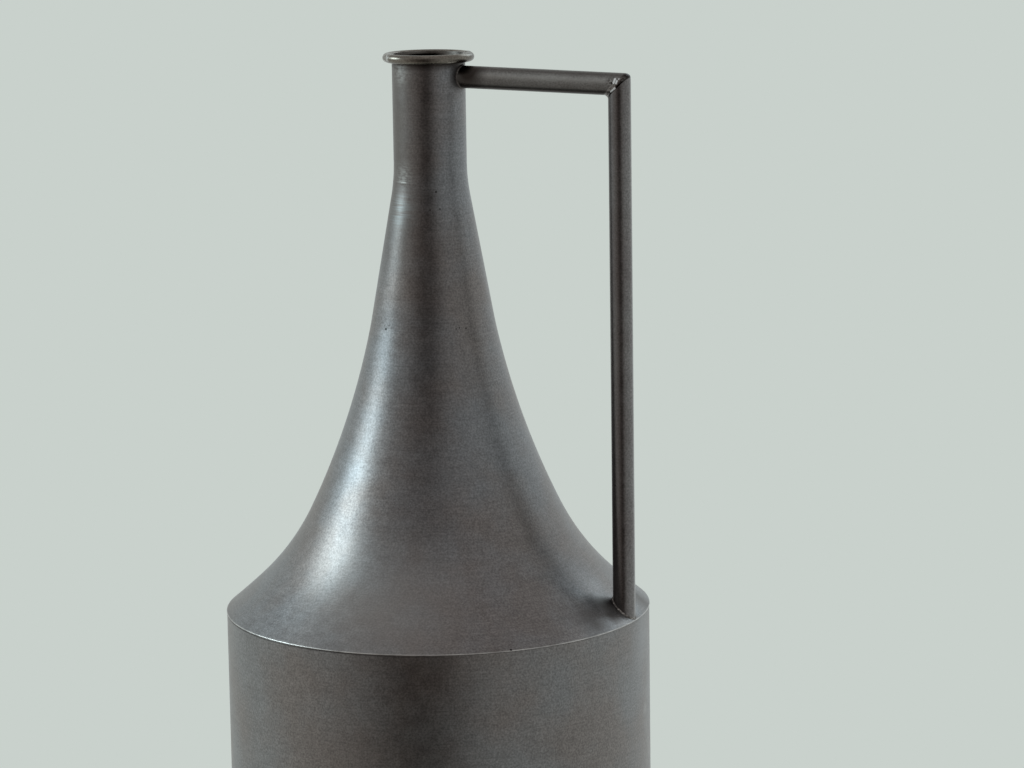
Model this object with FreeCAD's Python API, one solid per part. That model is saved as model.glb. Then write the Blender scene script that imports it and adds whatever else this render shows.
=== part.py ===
import FreeCAD, Part
import math
import os

# A tall urn vase in welded sheet steel, as it stands on a floor.
# Millimetres, +Z up. The origin is on the vase's axis, at the underside of its pads.
# The handle points along +X.

# Drum body
body_radius = 152.4
body_height = 210.0
sheet = 1.2
body_seam_gap = 1.6
body_seam_turn = 180.0

# Base and its pads
base_sheet = 1.6
base_recess = 2.0
base_weld_leg = 1.7
pad_stand = 1.5
pad_radius = 9.0
pad_inset = 33.2
pad_count = 4
pad_chamfer = 0.8
pad_turn = 45.0

# Trumpet shoulder: a curved lower cone and a straight upper one
cone_height = 309.0
upper_cone_height = 101.3
seam_radius = 44.27
crease_lip = 0.3
crease_land = 0.4
crease_weld_leg = 2.6
# The lower cone's outline: how far up from lip to seam, and how far out from seam to lip.
# Its arcs meet at every second row, and the rows between are the middles of the arcs.
shoulder_shares = [
    (0.0000, 1.0000),
    (0.0511, 0.8843),
    (0.1042, 0.7722),
    (0.2212, 0.5737),
    (0.3550, 0.4192),
    (0.6707, 0.1712),
    (1.0000, 0.0000),
]

# Neck and rim
neck_radius = 25.9
neck_height = 88.6
rod_radius = 3.175
ring_drop = 2.4
rod_sides = 12
rim_fill_depth = 1.5
ring_joint_gap = 1.6
ring_joint_crown = 0.25
ring_joint_turn = 40.0

# Seam welds of the cones and the neck
seam_gap = 2.0
root_bead = 0.3
neck_weld_crown = 0.2

# Handle
tube_radius = 7.94
tube_wall = 1.5
post_setback = 0.66
arm_gap = 2.46
arm_fall = 1.46
mitre_gap = 0.9
mitre_crown = 0.3
outer_corner_round = 3.4
inner_corner_round = 3.0
inner_corner_width = 13.0
arm_weld_leg = 1.3
post_weld_leg = 1.5

# Clearance between pieces that are pushed together before welding
fit_gap = 0.1
# How far a cutter runs past what it cuts
overrun = 5.0

# Levels worked out from the sizes above
body_bottom = pad_stand
base_underside = body_bottom + base_recess
crease_level = body_bottom + body_height
neck_level = crease_level + cone_height
mouth_level = neck_level + neck_height
ring_level = mouth_level - ring_drop
ring_radius = neck_radius + fit_gap + rod_radius
seam_level = neck_level - upper_cone_height
lip_radius = body_radius + crease_lip
body_inner_radius = body_radius - sheet
pad_circle_radius = body_inner_radius - pad_inset
handle_reach = body_radius - post_setback - tube_radius

ORIGIN = FreeCAD.Vector(0, 0, 0)
UP = FreeCAD.Vector(0, 0, 1)
ALONG = FreeCAD.Vector(1, 0, 0)
ACROSS = FreeCAD.Vector(0, 1, 0)
FULL_TURN = 360.0


def point(radius, height):
    """A point of an outline: its distance from the axis and its height."""
    return FreeCAD.Vector(radius, 0, height)


def turn(vector, degrees, axis):
    """The vector turned about an axis through the origin."""
    return FreeCAD.Rotation(axis, degrees).multVec(vector)


def outline_of(points):
    """A closed wire of straight edges through the points."""
    return Part.makePolygon(list(points) + [points[0]])


def revolved(wire, degrees=FULL_TURN):
    """The solid that a closed outline sweeps round the vase's axis."""
    return Part.Face(wire).revolve(ORIGIN, UP, degrees)


def drum(radius, low, high):
    """A plain round solid on the vase's axis."""
    return Part.makeCylinder(radius, high - low, point(0, low), UP)


# The outline of the trumpet shoulder, which all its pieces share.

def side_of(along):
    """Square to the outline's direction, away from the vase's axis."""
    return point(along.z, -along.x)


def along_of(out):
    """The outline's direction, upwards, from the way that is square to it."""
    return point(-out.z, out.x)


def shoulder_places():
    """The lower cone's outline from lip to seam: the ends and the middles of its arcs."""
    lip = point(lip_radius, crease_level + crease_land)
    top = point(seam_radius, seam_level - seam_gap / 2)
    rise = top.z - lip.z
    spread = lip.x - top.x
    return [point(top.x + out * spread, lip.z + up * rise) for up, out in shoulder_shares]


def arcs_through(places):
    """One arc through every three places, each from where the last one ended."""
    return [Part.Arc(*places[first:first + 3]) for first in range(0, len(places) - 1, 2)]


def outward_ways(places):
    """Square to the outline at each place, away from the axis, which is towards its arc's centre."""
    ways = [FreeCAD.Vector() for _ in places]
    for number, arc in enumerate(arcs_through(places)):
        centre = arc.toShape().Curve.Center
        for index in range(2 * number, 2 * number + 3):
            ways[index] += (centre - places[index]).normalize()
    return [way.normalize() for way in ways]


def shoulder_arcs(offset=0.0):
    """The lower cone's arcs, moved outwards by the offset."""
    places = shoulder_places()
    return arcs_through([
        place + way * offset for place, way in zip(places, outward_ways(places))
    ])


def lip_way():
    """The outline's direction where it leaves the lip."""
    return along_of(outward_ways(shoulder_places())[0])


def shoulder_end_way():
    """The outline's direction where the lower cone ends."""
    return along_of(outward_ways(shoulder_places())[-1])


def upper_cone_way():
    """The direction of the straight upper cone, from its seam up to the neck."""
    way = point(neck_radius, neck_level) - point(seam_radius, seam_level - seam_gap / 2)
    return way.normalize()


def under_lip():
    """Where the lower cone's inner face crosses the level of the crease."""
    start = point(lip_radius, crease_level + crease_land) - side_of(lip_way()) * sheet
    return start + lip_way() * ((crease_level - start.z) / lip_way().z)


def filled_shoulder(offset):
    """The lower cone filled in and grown by the offset, from below the crease to its seam."""
    arcs = [arc.toShape() for arc in shoulder_arcs(offset)]
    foot = arcs[0].valueAt(arcs[0].FirstParameter)
    top = arcs[-1].valueAt(arcs[-1].LastParameter)
    below = foot - lip_way() * ((foot.z - crease_level + overrun) / lip_way().z)
    edges = [Part.makeLine(point(0, below.z), below), Part.makeLine(below, foot)]
    edges += arcs
    edges += [Part.makeLine(top, point(0, top.z)), Part.makeLine(point(0, top.z), point(0, below.z))]
    return revolved(Part.Wire(edges))


def shoulder_cone():
    """The lower cone's sheet, flat where it stands on the drum and with a narrow upright lip."""
    outer = shoulder_arcs()
    inner_places = [
        place - way * sheet
        for place, way in zip(shoulder_places(), outward_ways(shoulder_places()))
    ]
    inner_places[0] = under_lip()
    lip = point(lip_radius, crease_level + crease_land)
    seat = point(lip_radius, crease_level)
    edges = [Part.makeLine(under_lip(), seat), Part.makeLine(seat, lip)]
    edges += [arc.toShape() for arc in outer]
    edges += [Part.makeLine(shoulder_places()[-1], inner_places[-1])]
    edges += [arc.toShape() for arc in reversed(arcs_through(inner_places))]
    return revolved(Part.Wire(edges))


# The straight upper cone, the neck and the seam welds between all three.

def inside(place, way):
    """The place on the inner face across from a place on the outer face."""
    return place - side_of(way) * sheet


def upper_cone_foot():
    """The upper cone's outer edge above its lower seam."""
    return point(seam_radius, seam_level - seam_gap / 2) + upper_cone_way() * seam_gap


def upper_cone_top():
    """The upper cone's outer edge below the neck's seam."""
    return point(neck_radius, neck_level) - upper_cone_way() * seam_gap


def upper_cone():
    foot = upper_cone_foot()
    top = upper_cone_top()
    way = upper_cone_way()
    return revolved(outline_of([foot, top, inside(top, way), inside(foot, way)]))


def neck_tube():
    """The straight neck, open at both ends."""
    foot = point(neck_radius, neck_level)
    mouth = point(neck_radius, mouth_level)
    return revolved(outline_of([foot, mouth, inside(mouth, UP), inside(foot, UP)]))


def seam_weld(low, low_way, high, high_way, crown):
    """A butt weld that fills a seam from face to face, with its crown outside and its bead inside."""
    inner_low = inside(low, low_way)
    inner_high = inside(high, high_way)
    out = side_of(low_way + high_way).normalize()
    section = [low, high, inner_high, (inner_low + inner_high) / 2 - out * root_bead, inner_low]
    if crown > 0:
        section.insert(1, (low + high) / 2 + out * crown)
    return revolved(outline_of(section))


def cone_weld():
    """The seam between the two cones, ground flush."""
    below = shoulder_places()[-1]
    return seam_weld(below, shoulder_end_way(), upper_cone_foot(), upper_cone_way(), 0)


def neck_weld():
    """The seam at the kink under the neck, which is left slightly proud."""
    above = point(neck_radius, neck_level)
    return seam_weld(upper_cone_top(), upper_cone_way(), above, UP, neck_weld_crown)


# The drum and its base.

def drum_wall():
    """The section of the drum's sheet."""
    return outline_of([
        point(body_inner_radius, body_bottom),
        point(body_radius, body_bottom),
        point(body_radius, crease_level),
        point(body_inner_radius, crease_level),
    ])


def body_gap_turn():
    return math.degrees(body_seam_gap / body_radius)


def body_cylinder():
    """One sheet rolled round, with a gap where its two edges are welded."""
    rolled = revolved(drum_wall(), FULL_TURN - body_gap_turn())
    rolled.rotate(ORIGIN, UP, body_seam_turn + body_gap_turn() / 2)
    return rolled


def body_seam_weld():
    """The upright weld between the rolled sheet's two edges, ground flush."""
    weld = revolved(drum_wall(), body_gap_turn())
    weld.rotate(ORIGIN, UP, body_seam_turn - body_gap_turn() / 2)
    return weld


def base_disc():
    """The round floor, let into the drum from below."""
    return drum(body_inner_radius - fit_gap, base_underside, base_underside + base_sheet)


def base_weld():
    """A fillet weld in the corner under the floor."""
    return revolved(outline_of([
        point(body_inner_radius, base_underside),
        point(body_inner_radius - base_weld_leg, base_underside),
        point(body_inner_radius, base_underside - base_weld_leg),
    ]))


def foot_pads():
    """Rubber bumpers stuck under the floor, chamfered where they meet the ground."""
    pads = []
    for number in range(pad_count):
        foot = Part.makeCone(pad_radius - pad_chamfer, pad_radius, pad_chamfer)
        top = Part.makeCylinder(pad_radius, base_underside - pad_chamfer, UP * pad_chamfer)
        pad = foot.fuse(top)
        pad.translate(ALONG * pad_circle_radius)
        pad.rotate(ORIGIN, UP, pad_turn + number * FULL_TURN / pad_count)
        pads.append(pad)
    return Part.makeCompound(pads)


def crease_weld():
    """The weld laid inside the crease, in the angle between drum and shoulder."""
    return revolved(outline_of([
        point(body_inner_radius, crease_level - crease_weld_leg),
        point(body_inner_radius, crease_level),
        under_lip(),
        under_lip() + lip_way() * crease_weld_leg,
    ]))


# The rim.

def ring_section(radius):
    """The round section of the rim's rod, or of a weld round it, with many small sides."""
    corners = []
    for number in range(rod_sides):
        angle = 2 * math.pi * (number + 1 / 2) / rod_sides
        corners.append(point(ring_radius + radius * math.cos(angle), ring_level + radius * math.sin(angle)))
    return outline_of(corners)


def ring_gap_turn():
    return math.degrees(ring_joint_gap / ring_radius)


def rim_ring():
    """A rod bent round the mouth, with its two ends nearly meeting."""
    ring = revolved(ring_section(rod_radius), FULL_TURN - ring_gap_turn())
    ring.rotate(ORIGIN, UP, ring_joint_turn + ring_gap_turn() / 2)
    return ring


def rim_weld():
    """The fill between mouth and ring, and the bead that closes the ring's ends."""
    clear_radius = rod_radius + fit_gap
    beside_ring = ring_radius - math.sqrt(clear_radius ** 2 - ring_drop ** 2)
    fill = revolved(outline_of([
        point(neck_radius, mouth_level),
        point(beside_ring, mouth_level),
        point(neck_radius, mouth_level - rim_fill_depth),
    ]))
    joint = revolved(ring_section(rod_radius + ring_joint_crown), ring_gap_turn())
    joint.rotate(ORIGIN, UP, ring_joint_turn - ring_gap_turn() / 2)
    joint = joint.cut(drum(neck_radius, ring_level - overrun, mouth_level + overrun))
    return Part.makeCompound([fill, joint.cut(fill)])


# The handle: an arm and a post, mitred together.

def arm_way():
    """The arm's direction, outwards from the neck and falling a little."""
    return turn(ALONG, arm_fall, ACROSS)


def arm_up():
    return turn(UP, arm_fall, ACROSS)


def corner_point():
    """Where the axes of arm and post cross: the arm's top clears the rim's ring by its gap."""
    under_ring = point(ring_radius, ring_level - rod_radius - arm_gap)
    on_axis = under_ring - arm_up() * tube_radius
    return on_axis + arm_way() * ((handle_reach - on_axis.x) / arm_way().x)


def mitre_way():
    """Square to the mitre: halfway between the arm's way out and the post's way down."""
    way = arm_way() - UP
    return way.normalize()


def arm_bar(radius):
    """A solid bar along the arm, from the vase's axis to past the corner."""
    start = corner_point() - arm_way() * handle_reach
    return Part.makeCylinder(radius, handle_reach + 2 * tube_radius + overrun, start, arm_way())


def post_bar(radius):
    """A solid bar along the post, from the crease to past the corner."""
    length = corner_point().z - crease_level + 2 * tube_radius + overrun
    return Part.makeCylinder(radius, length, point(handle_reach, crease_level), UP)


def mitre_block(low, high):
    """All that lies between two planes along the mitre, as one big round block."""
    reach = 2 * mouth_level
    start = corner_point() + mitre_way() * low
    return Part.makeCylinder(reach, high - low, start, mitre_way())


def corner_rounding():
    """What is ground off the outer corner, as a bar across the handle."""
    half_angle = math.radians((FULL_TURN / 4 - arm_fall) / 2)
    top_line = corner_point() + arm_up() * tube_radius
    along = (handle_reach + tube_radius - top_line.x) / arm_way().x
    tip = top_line + arm_way() * along
    back = outer_corner_round / math.tan(half_angle)
    on_arm = tip - arm_way() * back
    on_post = tip - UP * back
    inward = (on_arm + on_post) / 2 - tip
    inward.normalize()
    middle = tip + inward * (outer_corner_round / math.sin(half_angle) - outer_corner_round)
    past = tip - inward * overrun
    edges = [
        Part.Arc(on_arm, middle, on_post).toShape(),
        Part.makeLine(on_post, past + ALONG * overrun),
        Part.makeLine(past + ALONG * overrun, past + UP * overrun),
        Part.makeLine(past + UP * overrun, on_arm),
    ]
    face = Part.Face(Part.Wire(edges))
    face.translate(ACROSS * -(tube_radius + overrun))
    return face.extrude(ACROSS * (2 * (tube_radius + overrun)))


def handle_arm():
    """The upper tube, coped round the neck and mitred at the corner."""
    arm = arm_bar(tube_radius).cut(arm_bar(tube_radius - tube_wall))
    arm = arm.cut(drum(neck_radius + fit_gap, neck_level, mouth_level + overrun))
    arm = arm.common(mitre_block(-2 * handle_reach, -mitre_gap / 2))
    return arm.cut(corner_rounding())


def handle_post():
    """The upright tube, coped to the slope of the shoulder and mitred at the corner."""
    post = post_bar(tube_radius).cut(post_bar(tube_radius - tube_wall))
    post = post.common(mitre_block(mitre_gap / 2, mouth_level))
    post = post.cut(filled_shoulder(fit_gap))
    return post.cut(corner_rounding())


def inner_corner_fillet():
    """The hollow-faced weld in the crook between arm and post."""
    half_angle = math.radians((FULL_TURN / 4 + arm_fall) / 2)
    lower_line = corner_point() - arm_up() * tube_radius
    along = (handle_reach - tube_radius - lower_line.x) / arm_way().x
    crook = lower_line + arm_way() * along
    back = inner_corner_round / math.tan(half_angle)
    on_arm = crook - arm_way() * back
    on_post = crook - UP * back
    outward = (on_arm + on_post) / 2 - crook
    outward.normalize()
    middle = crook + outward * (inner_corner_round / math.sin(half_angle) - inner_corner_round)
    inside = crook - outward * tube_radius
    edges = [
        Part.Arc(on_arm, middle, on_post).toShape(),
        Part.makeLine(on_post, inside),
        Part.makeLine(inside, on_arm),
    ]
    face = Part.Face(Part.Wire(edges))
    face.translate(ACROSS * (-inner_corner_width / 2))
    return face.extrude(ACROSS * inner_corner_width)


def corner_weld():
    """The weld along the mitre, proud of the tubes, with the fillet in the crook."""
    outer = tube_radius + mitre_crown
    inner = tube_radius - tube_wall
    arm_side = arm_bar(outer).cut(arm_bar(inner)).common(mitre_block(-mitre_gap / 2, 0))
    post_side = post_bar(outer).cut(post_bar(inner)).common(mitre_block(0, mitre_gap / 2))
    weld = arm_side.fuse(post_side)
    crook = inner_corner_fillet()
    crook = crook.cut(arm_bar(tube_radius)).cut(post_bar(tube_radius))
    weld = weld.fuse(crook)
    weld = weld.cut(handle_arm()).cut(handle_post())
    return weld.cut(corner_rounding()).removeSplitter()


def arm_weld():
    """The small fillet where the arm meets the neck, as a cone that shrinks along the arm."""
    side = math.sqrt(neck_radius ** 2 - tube_radius ** 2)
    start = corner_point() - arm_way() * ((handle_reach - side) / arm_way().x)
    length = neck_radius - side + arm_weld_leg
    collar = Part.makeCone(tube_radius + length, tube_radius, length, start, arm_way())
    collar = collar.cut(drum(neck_radius + fit_gap, neck_level, mouth_level))
    return collar.cut(arm_bar(tube_radius))


def post_foot():
    """The shoulder's point under the post's axis and its direction there, on the lowest arc."""
    circle = shoulder_arcs()[0].toShape().Curve
    inwards = handle_reach - circle.Center.x
    downwards = -math.sqrt(circle.Radius ** 2 - inwards ** 2)
    along = point(downwards, -inwards)
    return circle.Center + point(inwards, downwards), along.normalize()


def slanted_ring(radius, rise):
    """An upright bar's outline of this radius on a plane that slopes as the shoulder does."""
    place, along = post_foot()
    long_radius = radius / abs(along.x)
    centre = place + UP * rise
    ellipse = Part.Ellipse(centre + along * long_radius, centre + ACROSS * radius, centre)
    return Part.Wire(ellipse.toShape())


def post_weld():
    """The small fillet round the foot of the post, between two slanted outlines."""
    foot = slanted_ring(tube_radius + 2 * post_weld_leg, -post_weld_leg)
    top = slanted_ring(tube_radius, post_weld_leg)
    collar = Part.makeLoft([foot, top], True, True)
    collar = collar.cut(filled_shoulder(fit_gap))
    collar = collar.cut(post_bar(tube_radius))
    return collar.common(drum(lip_radius, crease_level + crease_land, neck_level))


def all_pieces():
    return {
        "body_cylinder": body_cylinder(),
        "body_seam_weld": body_seam_weld(),
        "base_disc": base_disc(),
        "base_weld": base_weld(),
        "foot_pads": foot_pads(),
        "shoulder_cone": shoulder_cone(),
        "crease_weld": crease_weld(),
        "upper_cone": upper_cone(),
        "cone_weld": cone_weld(),
        "neck_tube": neck_tube(),
        "neck_weld": neck_weld(),
        "rim_ring": rim_ring(),
        "rim_weld": rim_weld(),
        "handle_arm": handle_arm(),
        "arm_weld": arm_weld(),
        "handle_post": handle_post(),
        "corner_weld": corner_weld(),
        "post_weld": post_weld(),
    }


os.makedirs("parts", exist_ok=True)
for name, shape in all_pieces().items():
    shape.exportStep(os.path.join("parts", name + ".step"))
    box = shape.BoundBox
    print(name, len(shape.Solids), "solids, valid", shape.isValid(), "volume", round(shape.Volume, 1),
          "z", round(box.ZMin, 2), round(box.ZMax, 2), "x", round(box.XMin, 2), round(box.XMax, 2))
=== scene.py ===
# %% [markdown]
# # A welded urn vase in antiqued gunmetal
# This file rebuilds the looks of a tall floor vase: a drum with a sharp crease, a trumpet
# shoulder, a straight neck with a rolled rim, and a square handle of round tube.
# The CAD frame says where each piece is. The lesson replaces its plain pieces with finer
# surfaces, gives them a darkened and rubbed metal, and lights them softly.
#
# Such surfaces could be modelled by hand and kept in a Blender file. Worked out from
# sizes, they change when a number changes, and come out the same on every run.

# %% Load the frame
import math

import bpy
import numpy as np
from mathutils import Matrix, Vector


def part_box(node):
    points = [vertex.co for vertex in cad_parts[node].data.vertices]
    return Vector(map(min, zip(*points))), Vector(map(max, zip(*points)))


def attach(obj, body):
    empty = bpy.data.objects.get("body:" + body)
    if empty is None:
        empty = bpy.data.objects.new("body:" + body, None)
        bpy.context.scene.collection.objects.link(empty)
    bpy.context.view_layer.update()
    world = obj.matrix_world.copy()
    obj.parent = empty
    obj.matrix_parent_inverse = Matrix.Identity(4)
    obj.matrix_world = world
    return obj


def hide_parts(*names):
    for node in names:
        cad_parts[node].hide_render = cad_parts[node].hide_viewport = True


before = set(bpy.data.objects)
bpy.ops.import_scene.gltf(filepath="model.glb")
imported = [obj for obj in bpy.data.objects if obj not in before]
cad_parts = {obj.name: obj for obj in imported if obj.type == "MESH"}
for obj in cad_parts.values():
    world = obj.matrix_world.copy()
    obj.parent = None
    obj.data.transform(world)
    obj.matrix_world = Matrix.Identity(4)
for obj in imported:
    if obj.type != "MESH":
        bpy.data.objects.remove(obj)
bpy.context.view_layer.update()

# %% [markdown]
# ## From a grid of points to faces
# Every piece here is a grid: rows of points that numpy works out in one go, with a small
# four-cornered face between each point and its neighbours. A grid that closes on itself
# in both directions has no open edge, like the skin of a ring. Blender's own cylinders
# are quicker to add, but they know nothing of lips, copes and beads.
#
# The numbers in this file are millimetres on the real vase. Blender works in metres, so
# one factor, MM, turns one into the other when a mesh is made.

# %% Faces of a grid
MM = 0.001


def grid_faces(rows, columns, wrap_rows=True, wrap_columns=True):
    """Corner numbers of the faces between the points of a grid, row by row."""
    row = np.arange(rows if wrap_rows else rows - 1)
    column = np.arange(columns if wrap_columns else columns - 1)
    row, column = np.meshgrid(row, column, indexing="ij")
    next_row = (row + 1) % rows
    next_column = (column + 1) % columns
    corners = [
        row * columns + column,
        next_row * columns + column,
        next_row * columns + next_column,
        row * columns + next_column,
    ]
    return np.stack(corners, axis=-1).reshape(-1, 4)


print("a closed grid of 8 rows and 4 columns has", len(grid_faces(8, 4)), "faces")

# %% [markdown]
# ## One piece of the vase
# A mesh looks right only if its faces point outwards. The sum of the small pyramids from
# the origin to each face is the enclosed volume, and it comes out negative when the
# faces point inwards, so the sign says whether to turn them round. Blender can also
# recalculate normals, but it guesses, and the sum is exact.
#
# Smooth shading hides the small faces, and edges past an angle stay crisp. Each piece
# rides on the vase's one body, and names the plain pieces of the frame that it replaces.

# %% Making a piece
def enclosed_volume(points, faces):
    """Six times the volume is the sum of the triple products of each face's two triangles."""
    a, b, c, d = (points[faces[:, corner]] for corner in range(4))
    first = np.einsum("ij,ij->i", a, np.cross(b, c))
    second = np.einsum("ij,ij->i", a, np.cross(c, d))
    return (first.sum() + second.sum()) / 6


def make_piece(name, points, faces, caps=(), replaces=(), sharp_angle=35):
    """Makes one piece from points in millimetres, its faces, and the rows that close its ends."""
    points = np.asarray(points, dtype=float).reshape(-1, 3)
    if enclosed_volume(points, faces) < 0:
        faces = faces[:, ::-1]
        caps = [cap[::-1] for cap in caps]
    mesh = bpy.data.meshes.new(name)
    mesh.from_pydata((points * MM).tolist(), [], faces.tolist() + [list(cap) for cap in caps])
    mesh.shade_smooth()
    mesh.set_sharp_from_angle(angle=math.radians(sharp_angle))
    piece = bpy.data.objects.new(name, mesh)
    bpy.context.scene.collection.objects.link(piece)
    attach(piece, "root")
    for node_name in replaces:
        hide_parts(node_name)
    triangles = 2 * len(faces) + sum(len(cap) - 2 for cap in caps)
    print(name, len(points), "points,", triangles, "triangles")
    return piece


print(len(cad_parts), "plain pieces in the frame")

# %% [markdown]
# ## Spinning a section
# Drum, shoulder, cone, neck and rim are round about one upright axis, because the real
# ones are rolled or spun on a lathe. A closed section of radii and heights, turned about
# that axis, gives each of them. Blender's Screw modifier does the same for a whole turn,
# but the seams are short parts of a turn, and their ends have to be closed as well.

# %% Spinning
def spun(name, section, replaces=(), start=0.0, sweep=360.0, steps=384):
    """Turns a closed section of radii and heights about the Z axis, all the way or partly.

    At each angle a point lies at its radius times the cosine and the sine of the angle.
    """
    section = np.asarray(section, dtype=float)
    whole = sweep >= 360.0
    angles = np.radians(start + np.linspace(0.0, sweep, steps + (not whole), endpoint=not whole))
    radius = section[None, :, 0]
    points = np.stack([
        radius * np.cos(angles)[:, None],
        radius * np.sin(angles)[:, None],
        np.broadcast_to(section[None, :, 1], (len(angles), len(section))),
    ], axis=-1)
    count = len(section)
    faces = grid_faces(len(angles), count, wrap_rows=whole)
    caps = []
    if not whole:
        last = (len(angles) - 1) * count
        caps = [list(range(count)), list(range(last + count - 1, last - 1, -1))]
    return make_piece(name, points, faces, caps, replaces)


print("one of 384 steps of a whole turn is", 360 / 384, "degrees")

# %% [markdown]
# ## The drum
# The body is one sheet of mild steel, rolled round and closed by an upright weld opposite
# the handle. Its section runs up the outer face and down the inner one, a sheet's
# thickness apart. Waxed metal shows every corner of its outline, so the top edge, which a
# file has touched, gets a small round with points close together. A Bevel modifier would
# round all edges alike, and only this one is filed.

# %% Drum and its seam
SHEET = 1.2
BODY_RADIUS = 152.4
BODY_BOTTOM = 1.5
CREASE = 211.5
WELD_GAP = 1.6
FILED = 0.9
# A filed round from the outer face to the top: share of its size inwards, and share down.
FILED_ROUND = [(0, 1), (2 / 15, 1 / 2), (1 / 2, 2 / 15), (1, 0)]


def straight(start, end, count):
    """Evenly spaced points: one place times what is left of the way, plus the other times
    the way gone."""
    share = np.linspace(0.0, 1.0, count)[:, None]
    return np.asarray(start) * (1 - share) + np.asarray(end) * share


def drum_section(chamfer=0.5):
    """The drum's wall: up from a small chamfer, round the filed edge, and down the inside.

    The plain wall is a straight line that stops short of both worked edges.
    """
    outer = [(BODY_RADIUS - chamfer, BODY_BOTTOM), (BODY_RADIUS, BODY_BOTTOM + chamfer)]
    outer += straight((BODY_RADIUS, BODY_BOTTOM + 1.5), (BODY_RADIUS, CREASE - 2.0), 40).tolist()
    outer += [(BODY_RADIUS - FILED * inwards, CREASE - FILED * down) for inwards, down in FILED_ROUND]
    inner_radius = BODY_RADIUS - SHEET
    inner = straight((inner_radius, CREASE), (inner_radius, BODY_BOTTOM), 12).tolist()
    return outer + inner


box_low, box_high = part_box("body_cylinder")
print("drum radius in the frame:", round(box_high[0] / MM, 2), "mm, here", BODY_RADIUS)
seam_turn = math.degrees(WELD_GAP / BODY_RADIUS)
drum = spun("drum", drum_section(), ["body_cylinder"], 180 + seam_turn / 2, 360 - seam_turn)
drum_seam = spun("drum_seam", drum_section(), ["body_seam_weld"], 180 - seam_turn / 2, seam_turn, 6)

# %% [markdown]
# ## The shoulder's outline
# The trumpet shoulder is spun from sheet over a turned former, and its outline is three
# arcs that run into one another. A circle through three points has its centre where the
# upright bisectors of two chords cross. That is a pair of straight-line equations, so
# numpy solves them directly. A Bezier curve would be smooth too, but a former is turned
# to arcs, and each arc needs only three places that can be measured.

# %% Outline of the shoulder
LIP_RADIUS = 152.7
LIP_LAND = 0.4
SEAM = 419.2
SEAM_RADIUS = 44.27
SEAM_GAP = 2.0
# Up share and out share of each place on the outline. The three arcs meet at every
# second place, and pass through the places between.
SHOULDER_SHARES = [
    (0.0000, 1.0000), (0.0511, 0.8843), (0.1042, 0.7722), (0.2212, 0.5737),
    (0.3550, 0.4192), (0.6707, 0.1712), (1.0000, 0.0000),
]


def arc_through(start, middle, end, count):
    """Evenly spaced points on the circle through three places."""
    start, middle, end = (np.asarray(place, dtype=float) for place in (start, middle, end))
    chords = np.array([middle - start, end - middle])
    halfway = np.array([start + middle, middle + end]) / 2
    centre = np.linalg.solve(chords, (chords * halfway).sum(axis=1))
    spokes = np.array([start, end]) - centre
    first, last = np.unwrap(np.arctan2(spokes[:, 1], spokes[:, 0]))
    turns = np.linspace(first, last, count)
    radius = np.linalg.norm(spokes[0])
    return centre + radius * np.stack([np.cos(turns), np.sin(turns)], axis=1)


def shoulder_outline(counts=(20, 34, 36)):
    """The shoulder's outer line from the lip of the crease up to the seam."""
    foot = np.array([LIP_RADIUS, CREASE + LIP_LAND])
    top = np.array([SEAM_RADIUS, SEAM - SEAM_GAP / 2])
    places = [
        (top[0] + out * (foot[0] - top[0]), foot[1] + up * (top[1] - foot[1]))
        for up, out in SHOULDER_SHARES
    ]
    pieces = [
        arc_through(*places[2 * number:2 * number + 3], count)
        for number, count in enumerate(counts)
    ]
    return np.concatenate([pieces[0]] + [piece[1:] for piece in pieces[1:]])


OUTLINE = shoulder_outline()
print("outline points:", len(OUTLINE), "radius at the seam:", round(OUTLINE[-1][0], 2), "mm")

# %% [markdown]
# ## The shoulder
# The sheet's outer face follows the outline, and its inner face lies one thickness
# inwards, square to it. At the crease the edge of the sheet shows as a thin lip that
# catches the light. A Solidify modifier would make the second face, but not the lip,
# whose round has to end just where the outline's own slope begins.

# %% Shoulder
def outward(line):
    """Unit vectors square to an outline that runs upwards, away from the axis."""
    along = np.gradient(line, axis=0)
    along /= np.linalg.norm(along, axis=1)[:, None]
    return np.stack([along[:, 1], -along[:, 0]], axis=1)


def shoulder_section(lip_round=0.75):
    """The shoulder's sheet: the lip's round, the outline, and the same line moved inwards.

    The round of the lip turns through every slope from upright to the shoulder's own, so
    somewhere along the crease it always catches the window.
    """
    inner = OUTLINE - outward(OUTLINE) * SHEET
    inner = inner[inner[:, 1] > CREASE + 0.2][::-1]
    out = outward(OUTLINE)[0]
    turns = np.linspace(0.0, math.atan2(out[1], out[0]), 9)
    level = CREASE + LIP_LAND - lip_round * (1 - out[0]) / out[1]
    lip = np.stack([
        LIP_RADIUS - lip_round * (1 - np.cos(turns)), level + lip_round * np.sin(turns)], axis=1)
    above = OUTLINE[OUTLINE[:, 1] > lip[-1, 1] + 0.3]
    # The lip's underside lies flat on the drum's top edge, and reaches in behind it.
    underside = [(BODY_RADIUS - 2.9, CREASE), (LIP_RADIUS - 0.2, CREASE)]
    return np.concatenate([underside, lip, above, inner])


shoulder = spun("shoulder", shoulder_section(), ["shoulder_cone"])

# %% [markdown]
# ## The line of cone and neck
# Above the ground seam the trumpet goes on as a rolled straight cone, and the neck is a
# piece of tube. Where they meet, filing has eased the kink, so an arc takes the place of
# the corner. Smoothing the mesh would ease it too, but would draw the neck in, and the
# arc's reach is one number.

# %% Line of cone and neck
NECK = 520.5
NECK_RADIUS = 25.9
MOUTH = 609.1


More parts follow.
